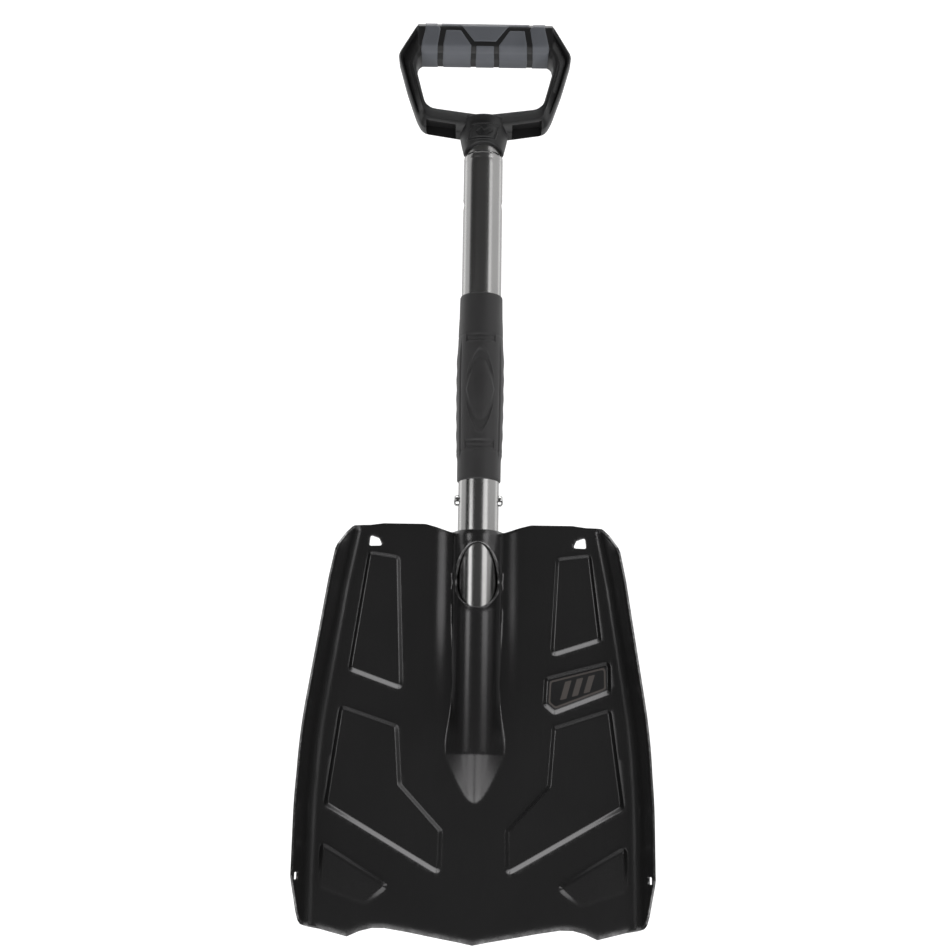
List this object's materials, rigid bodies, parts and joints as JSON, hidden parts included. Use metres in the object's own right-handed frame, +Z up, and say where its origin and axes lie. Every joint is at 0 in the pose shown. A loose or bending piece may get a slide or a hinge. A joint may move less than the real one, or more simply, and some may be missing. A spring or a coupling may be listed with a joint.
{
  "type": "avalanche shovel",
  "caption": "Compact snow shovel: pressed metal blade with turned-up sides, telescoping shaft with spring buttons, and a D-handle.",
  "frame": {"origin": "middle of the blade's lip, on the front face of the sheet, where the blade is set into the snow", "axes": "+Z up the shaft from the blade to the handle, +X to the right seen from the scoop side, -Y the way the blade's sides are turned up"},
  "size_m": [0.2384, 0.0511, 0.6606],
  "materials": {
    "blade_sheet": "black anodised, satin",
    "weld": "anodised weld bead",
    "badge": "moulded plate",
    "tube": "grey anodised, satin",
    "inner_tube": "grey anodised, satin",
    "grip": "matt",
    "plug": "matt",
    "spring": "bright spring steel",
    "button": "polished",
    "handle": "fine-grained moulding",
    "pad": "matt soft-touch"
  },
  "bodies": {
    "blade": {"blade": "blade_sheet", "rear_channel": "blade_sheet", "weld_bead_left": "weld", "weld_bead_right": "weld", "blade_badge": "badge"},
    "shaft": {"outer_tube": "tube", "grip_sleeve": "grip", "shaft_end_plug": "plug", "blade_lock_spring": "spring"},
    "blade_lock": {"blade_lock_button": "button"},
    "handle": {"handle_frame": "handle", "inner_tube": "inner_tube", "inner_tube_plug": "plug", "telescope_spring": "spring", "handle_badge": "badge", "handle_pin": "spring", "pad_outer_left": "pad", "pad_outer_right": "pad", "pad_inner_left": "pad", "pad_inner_right": "pad", "pad_centre_top": "pad", "pad_centre_low": "pad"},
    "snap_left": {"telescope_button_left": "button"},
    "snap_right": {"telescope_button_right": "button"}
  },
  "joints": [
    {"name": "shaft_release", "type": "slide", "parent": "blade", "child": "shaft", "axis": [0, 0, 1], "range_m": [0, 0.13], "deforming": ["blade_lock_button"]},
    {"name": "handle_extend", "type": "slide", "parent": "shaft", "child": "handle", "axis": [0, 0, 1], "range_m": [0, 0.2205], "deforming": ["telescope_button_left", "telescope_button_right"]},
    {"name": "snap_press_left", "type": "slide", "parent": "handle", "child": "snap_left", "axis": [1, 0, 0], "range_m": [0, 0.0048], "stiffness_N_per_m": 700, "springref_m": -0.003, "deforming": ["telescope_spring"]},
    {"name": "snap_press_right", "type": "slide", "parent": "handle", "child": "snap_right", "axis": [-1, 0, 0], "range_m": [0, 0.0048], "stiffness_N_per_m": 700, "springref_m": -0.003, "deforming": ["telescope_spring"]},
    {"name": "blade_lock_press", "type": "slide", "parent": "shaft", "child": "blade_lock", "axis": [0, -1, 0], "range_m": [0, 0.0048], "stiffness_N_per_m": 700, "springref_m": -0.003, "deforming": ["blade_lock_spring"]}
  ]
}
